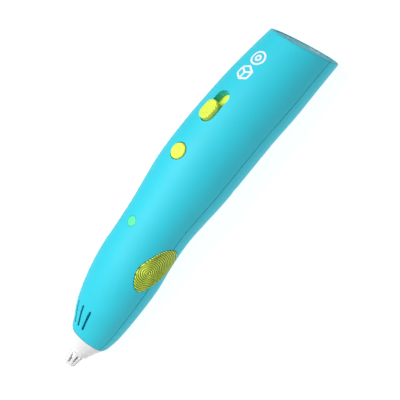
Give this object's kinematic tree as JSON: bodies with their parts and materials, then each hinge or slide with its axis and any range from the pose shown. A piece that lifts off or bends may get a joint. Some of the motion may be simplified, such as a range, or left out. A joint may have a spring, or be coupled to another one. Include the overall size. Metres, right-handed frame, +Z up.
{
  "type": "cordless 3d printing pen",
  "caption": "Stout rounded cordless pen that melts and feeds plastic filament, with a speed slider, a round feed button, side grip pads and a white guarded nozzle.",
  "frame": {"origin": "middle of the bounding box, on the surface that the pen lies on", "axes": "+X along the pen from the nozzle to the tail, +Z up through the button side, +Y to the left of the pen"},
  "size_m": [0.1715, 0.0344, 0.04],
  "materials": {
    "cyan_shell": "soft-touch matte",
    "steel": "plated",
    "grip_green": "matte moulded rubber",
    "control_green": "satin",
    "white_plastic": "satin",
    "ptfe": "waxy",
    "brass": "machined",
    "ceramic_fibre": "woven sleeve",
    "glass_bead": "clear bead",
    "black_plastic": "moulded",
    "board_green": "solder mask",
    "led_white": "clear epoxy",
    "window_green": "frosted light pipe",
    "battery_wrap": "foil",
    "foam": "open foam",
    "wire_red": "insulation"
  },
  "bodies": {
    "housing": {"back_shell": "cyan_shell", "battery_cell": "battery_wrap", "battery_connector": "white_plastic", "battery_foam": "foam", "battery_leads": "wire_red", "board_screws": "steel", "case_screws": "steel", "circuit_board": "board_green", "control_chip": "black_plastic", "feed_tube": "ptfe", "feeder_frame": "black_plastic", "filament_inlet": "white_plastic", "front_shell": "cyan_shell", "gearbox": "brass", "grip_pad_left": "grip_green", "grip_pad_right": "grip_green", "guide_tube": "ptfe", "heater_barrel": "steel", "heater_leads": "wire_red", "hot_nozzle": "steel", "idler_pin": "steel", "idler_spring": "steel", "insulation_sleeve": "ceramic_fibre", "led": "led_white", "light_window": "window_green", "motor_can": "steel", "motor_end": "white_plastic", "motor_leads": "wire_red", "motor_screws": "steel", "nozzle_cone": "white_plastic", "nozzle_guard": "white_plastic", "slide_switch": "steel", "tact_switch": "steel", "tail_cap": "cyan_shell", "thermistor": "glass_bead", "usb_socket": "steel"},
    "button": {"feed_button": "control_green", "tact_plunger": "black_plastic"},
    "slider": {"speed_slider": "control_green", "switch_lever": "black_plastic"},
    "pinion": {"motor_pinion": "brass", "motor_shaft": "steel"},
    "screw": {"feed_screw": "steel", "screw_gear": "brass"},
    "arm": {"idler_arm": "black_plastic", "idler_axle": "steel"},
    "roller": {"idler_roller": "steel"}
  },
  "joints": [
    {"name": "button_press", "type": "slide", "parent": "housing", "child": "button", "axis": [0, 0, -1], "range_m": [0, 0.0006], "stiffness_N_per_m": 2500},
    {"name": "slider_slide", "type": "slide", "parent": "housing", "child": "slider", "axis": [0.9974, 0, -0.0716], "range_m": [0, 0.0054]},
    {"name": "pinion_spin", "type": "hinge", "parent": "housing", "child": "pinion", "pos_m": [-0.0316, 0.001, 0.01675], "axis": [1, 0, 0], "continuous": true},
    {"name": "screw_spin", "type": "hinge", "parent": "housing", "child": "screw", "pos_m": [-0.0316, 0.00417, 0.0093], "axis": [1, 0, 0], "continuous": true},
    {"name": "arm_swing", "type": "hinge", "parent": "housing", "child": "arm", "pos_m": [-0.0362, -0.0062, 0.0093], "axis": [0, 0, 1], "range_deg": [0, 8], "stiffness_Nm_per_rad": 0.02, "springref_deg": -11.46, "deforming": ["idler_spring"]},
    {"name": "roller_spin", "type": "hinge", "parent": "arm", "child": "roller", "pos_m": [-0.0414, -0.00387, 0.0093], "axis": [0, 0, 1], "continuous": true}
  ],
  "couplings": [
    {"joint": "screw_spin", "follows": "pinion_spin", "ratio": -2.2},
    {"joint": "roller_spin", "follows": "pinion_spin", "ratio": 0.17507}
  ]
}
